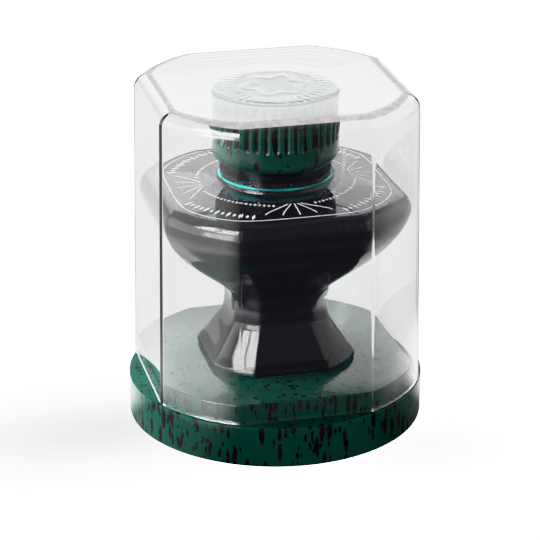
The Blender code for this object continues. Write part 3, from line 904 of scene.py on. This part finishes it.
def ribbon(bm, path, width, closed=False):
    """A flat line of some width along (angle, radius) points on the shoulder."""
    count = len(path)
    left, right = [], []
    for i in range(count):
        before = path[i - 1] if closed or i else path[i]
        after = path[(i + 1) % count] if closed or i + 1 < count else path[i]
        near = (before, path[i], after)
        back, here, ahead = (Vector((r * math.cos(a), r * math.sin(a))) for a, r in near)
        along = (ahead - back).normalized()
        side = Vector((-along.y, along.x)) * width / 2
        for store, point in ((left, here + side), (right, here - side)):
            lifted = shoulder_point(math.atan2(point.y, point.x), point.length, PRINT_LIFT)
            store.append(bm.verts.new(lifted))
    for i in range(count if closed else count - 1):
        after = (i + 1) % count
        bm.faces.new((left[i], right[i], right[after], left[after]))


def lozenge(bm, angle, radius, long, wide):
    """A small diamond printed on the shoulder, its long axis pointing at the neck."""
    corners = ((long / 2, 0.0), (0.0, wide / 2), (-long / 2, 0.0), (0.0, -wide / 2))
    points = []
    for out, across in corners:
        points.append(bm.verts.new(shoulder_point(angle + across / radius, radius + out, PRINT_LIFT)))
    bm.faces.new(points)


def make_print(material):
    """White ornament on the shoulder: a border, fans on the flats and bands of lozenges on the arcs."""
    bm = bmesh.new()
    border = []
    for angle in PLAN_ANGLES:
        reach = plan_reach(angle, SHOULDER_RADIUS - BORDER_INSET, FLAT_SHARE, BORDER_CORNER)
        border.append((angle, reach))
    ribbon(bm, border, BORDER_WIDTH, closed=True)
    for quarter in range(4):
        middle = quarter * QUARTER - QUARTER
        for spread in LEAF_SPREADS:
            leaf = []
            for step in range(9):
                t = step / 8
                leaf.append((middle + spread * (1 - LEAF_CLOSING * t**1.5), LEAF_END - LEAF_LENGTH * t))
            ribbon(bm, leaf, LEAF_WIDTH)
        for radius, count, lengths, wide in LOZENGE_BANDS:
            for index in range(count):
                angle = middle + QUARTER / 2 + LOZENGE_STEP * (index - count // 2)
                lozenge(bm, angle, radius, lengths[index % 2], wide)
    piece = linked_piece("shoulder_print", bm)
    solid = piece.modifiers.new("Film", "SOLIDIFY")
    solid.thickness = PRINT_FILM
    solid.offset = 1.0
    return dress(piece, "bottle", material, "bottle_glass")


def make_meniscus_glint(material):
    """A thin glowing turquoise ring round the foot of the neck: a painted glint where the ink inside is
    shallow.
    """
    bm = bmesh.new()
    rows = []
    for angle in even_angles(160):
        thick = MENISCUS_WIDTH * (1 - 0.5 * math.cos(angle) + 0.3 * math.sin(7 * angle))
        row = []
        for corner in even_angles(8):
            reach = MENISCUS_RADIUS + thick / 2 * math.cos(corner)
            height = MENISCUS_HEIGHT + thick / 2 * math.sin(corner)
            row.append((reach * math.cos(angle), reach * math.sin(angle), height))
        rows.append(row)
    made = add_rings(bm, rows)
    join_rings(bm, made + made[:1])
    bmesh.ops.recalc_face_normals(bm, faces=bm.faces)
    piece = linked_piece("meniscus_glint", bm)
    piece.data.shade_smooth()
    return dress(piece, "bottle", material, "ink")


# ---- the studio


def by_ray(n, mirrored, diffuse, seen):
    """A level by kind of ray: mirrored, straight through clear pieces, diffuse, or the camera's own."""
    path = n.add("ShaderNodeLightPath")
    straight = n.math("LESS_THAN", path.outputs["Glossy Depth"], 0.5)
    level = n.mix_number(straight, mirrored, THROUGH_LEVEL)
    level = n.mix_number(path.outputs["Is Diffuse Ray"], level, diffuse)
    return n.mix_number(path.outputs["Is Camera Ray"], level, seen)


def blob(n, place, center, reach):
    """1 at a point of the floor, falling off smoothly to 0 over a reach in x and y."""
    moved = n.vector("SUBTRACT", place, (*center, 0.0)).outputs[0]
    scaled = n.vector("MULTIPLY", moved, (1 / reach[0], 1 / reach[1], 0.0)).outputs[0]
    square = n.vector("DOT_PRODUCT", scaled, scaled).outputs["Value"]
    return n.math("EXPONENT", n.math("MULTIPLY", square, -1.0))


def floor_material():
    """White to the camera, with a painted soft shadow beside the base. Mirrored, it carries painted light
    and shade: dark in front of the base, brighter beside it, darker close to it.
    """
    n = material_nodes("floor_white")
    place = n.add("ShaderNodeNewGeometry").outputs["Position"]
    flat = n.vector("MULTIPLY", place, (1.0, 1.0, 0.0)).outputs[0]
    away = n.vector("LENGTH", flat).outputs["Value"]
    sideways = n.math("DIVIDE", n.axis(place, "X"), away)
    backward = n.math("DIVIDE", n.axis(place, "Y"), away)
    # Painted shadows seen by the camera: a long one to the left of the base and a fainter one at its front
    # right
    left_painted_shadow = blob(n, place, (-0.046, -0.006), (0.046, 0.022))
    right_painted_shadow = n.math("MULTIPLY", blob(n, place, (0.031, -0.034), (0.017, 0.013)), 0.5)
    shade = n.math("MULTIPLY", n.math("MAXIMUM", left_painted_shadow, right_painted_shadow), 2.1)
    seen = n.math("SUBTRACT", WHITE_LEVEL, shade)

    # Painted light for mirrored rays: brightest beside the base a little way off, dark in front of it
    left_painted_light = n.ramp(away, 0.066, 0.120, 2.4, 1.05)
    left = n.math("MULTIPLY", n.ramp(backward, -0.84, -0.62, 0.03, 1.0), left_painted_light)
    right_painted_light = n.ramp(away, 0.066, 0.100, 2.4, 1.0)
    right = n.math("MULTIPLY", n.ramp(backward, -0.70, -0.10, 0.03, 0.6), right_painted_light)
    side = n.mix_number(n.ramp(sideways, -0.2, 0.2), left, right)
    around = n.mix_number(n.ramp(backward, 0.30, 0.85), side, 1.1)
    # Painted shade: close to the base the floor is darker, less so behind the base and on its right
    beside = n.ramp(away, 0.055, 0.072, 0.12, 1.0)
    behind = n.ramp(away, 0.037, 0.046, 0.5, 1.0)
    backness = n.math("ADD", backward, n.ramp(sideways, -0.2, 0.2, 0.0, 0.3))
    contact = n.mix_number(n.ramp(backness, 0.0, 0.30), beside, behind)
    strength = by_ray(n, n.math("MULTIPLY", around, contact), FLOOR_FILL, seen)
    shader = n.add("ShaderNodeEmission", {"Color": (1.0, 1.0, 1.0), "Strength": strength})
    made = n.finish(shader.outputs[0])
    made.cycles.emission_sampling = "NONE"
    return made


def make_floor():
    bpy.ops.mesh.primitive_plane_add(size=FLOOR_SIZE, location=(0.0, 0.0, -FLOOR_DEPTH))
    floor = bpy.context.object
    floor.name = "studio_floor"
    floor.data.materials.append(floor_material())


def make_lamps():
    """Square lights that only shade matt surfaces; what shiny ones mirror is in the world."""
    for name, place, aim, size, radiance in LAMPS:
        light = bpy.data.lights.new(name, "AREA")
        light.shape = "SQUARE"
        light.size = size
        light.energy = radiance * math.pi * size**2
        lamp = bpy.data.objects.new(name, light)
        lamp.location = place
        lamp.rotation_mode = "QUATERNION"
        lamp.rotation_quaternion = (Vector(aim) - Vector(place)).to_track_quat("-Z", "Y")
        lamp.visible_glossy = False
        lamp.visible_transmission = False
        bpy.context.scene.collection.objects.link(lamp)


def make_world():
    """What shiny pieces mirror: a bright backdrop, narrow lights on the left, a dark room in front."""
    world = bpy.data.worlds.new("studio")
    n = Nodes(world)
    direction = n.add("ShaderNodeTexCoord").outputs["Generated"]
    bearing = n.math("ARCTAN2", n.axis(direction, "X"), n.axis(direction, "Y"))
    rise = n.math("ARCSINE", n.axis(direction, "Z"))

    def light(across, up, level):
        inside = n.math("MULTIPLY", window(n, bearing, *across), window(n, rise, *up))
        return n.math("MULTIPLY", inside, level)

    # The backdrop's level, by rise for the cover's top, then the bottle's shoulder, then the platform
    level = n.ramp(rise, 0.307, 0.319, 1.55, 2.05)
    level = n.mix_number(n.ramp(rise, 0.324, 0.338), level, n.ramp(bearing, 0.20, 0.29, 2.7, 1.7))
    level = n.mix_number(n.ramp(rise, 0.385, 0.410), level, n.ramp(bearing, 0.235, 0.285, 2.15, 1.5))
    divider = n.math("ABSOLUTE", n.math("SUBTRACT", bearing, DIVIDER_BEARING))
    lights = n.math("MULTIPLY", light(*HIGH_STRIP), n.ramp(divider, 0.015, 0.05, 0.35, 1.0))
    for more in (LOW_STRIP, LEFT_SIDE, RIGHT_SIDE, (BACKDROP_BEARING, BACKDROP_RISE, level)):
        lights = n.math("ADD", lights, light(*more))
    room = n.ramp(n.axis(direction, "Y"), -0.7, 0.5, 0.12, 0.5)
    room = n.math("MULTIPLY", room, n.ramp(rise, 0.6, 1.2, 1.0, 0.3))
    shown = by_ray(n, n.math("ADD", room, lights), SKY_FILL, WHITE_LEVEL)
    background = n.add("ShaderNodeBackground", {"Color": (1.0, 1.0, 1.0), "Strength": shown})
    n.finish(background.outputs[0])
    world.cycles.sampling_method = "NONE"
    bpy.context.scene.world = world


def make_camera():
    """A long lens, looking down from the left of the front."""
    right = Vector((math.cos(CAMERA_AZIMUTH), math.sin(CAMERA_AZIMUTH), 0.0))
    outward = math.cos(CAMERA_ELEVATION)
    sideways, forward = math.sin(CAMERA_AZIMUTH) * outward, -math.cos(CAMERA_AZIMUTH) * outward
    back = Vector((sideways, forward, math.sin(CAMERA_ELEVATION)))
    aim = right * CAMERA_AIM_RIGHT + Vector((0.0, 0.0, CAMERA_AIM_HEIGHT))
    camera = bpy.data.cameras.new("camera")
    camera.sensor_width = CAMERA_SENSOR
    camera.lens = CAMERA_LENS
    camera.clip_start = 0.01
    holder = bpy.data.objects.new("camera", camera)
    bpy.context.scene.collection.objects.link(holder)
    matrix = Matrix((right, back.cross(right), back)).transposed().to_4x4()
    matrix.translation = aim + back * CAMERA_DISTANCE
    holder.matrix_world = matrix
    bpy.context.scene.camera = holder


def set_tone():
    """An even response that rolls off gently in the highlights."""
    scene = bpy.context.scene
    scene.view_settings.view_transform = "Standard"
    scene.view_settings.use_curve_mapping = True
    mapping = scene.view_settings.curve_mapping
    mapping.white_level = (WHITE_POINT, WHITE_POINT, WHITE_POINT)
    curve = mapping.curves[3]
    for index, (level, shown) in enumerate(TONE_CURVE):
        if index in (0, len(TONE_CURVE) - 1):
            point = curve.points[0 if index == 0 else -1]
            point.location = (level / WHITE_POINT, shown)
        else:
            point = curve.points.new(level / WHITE_POINT, shown)
        point.handle_type = "VECTOR"
    mapping.update()
    scene.cycles.max_bounces = 20
    scene.cycles.transmission_bounces = 16
    scene.cycles.glossy_bounces = 8
    scene.cycles.diffuse_bounces = 3
    scene.cycles.transparent_max_bounces = 16
    scene.cycles.sample_clamp_indirect = 24.0


def main():
    flecked = flecked_plastic()
    clear = clear_body("clear_plastic", *CLEAR_PLASTIC, edge=COVER_PAINTED_GLOW)
    glass = clear_body("bottle_glass", *BOTTLE_GLASS, bands=(FOOT_PAINTED_SHADE, COLLAR_DARKENING))
    make_base(flecked)
    make_bottle(glass)
    make_ink(ink_liquid())
    make_print(printed_white())
    make_meniscus_glint(meniscus_glint_material())
    make_cap(flecked)
    make_cover(clear)
    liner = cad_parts["cap_liner"]
    liner.data.materials.clear()
    liner.data.materials.append(liner_foam())
    make_floor()
    make_lamps()
    make_world()
    make_camera()
    set_tone()


main()
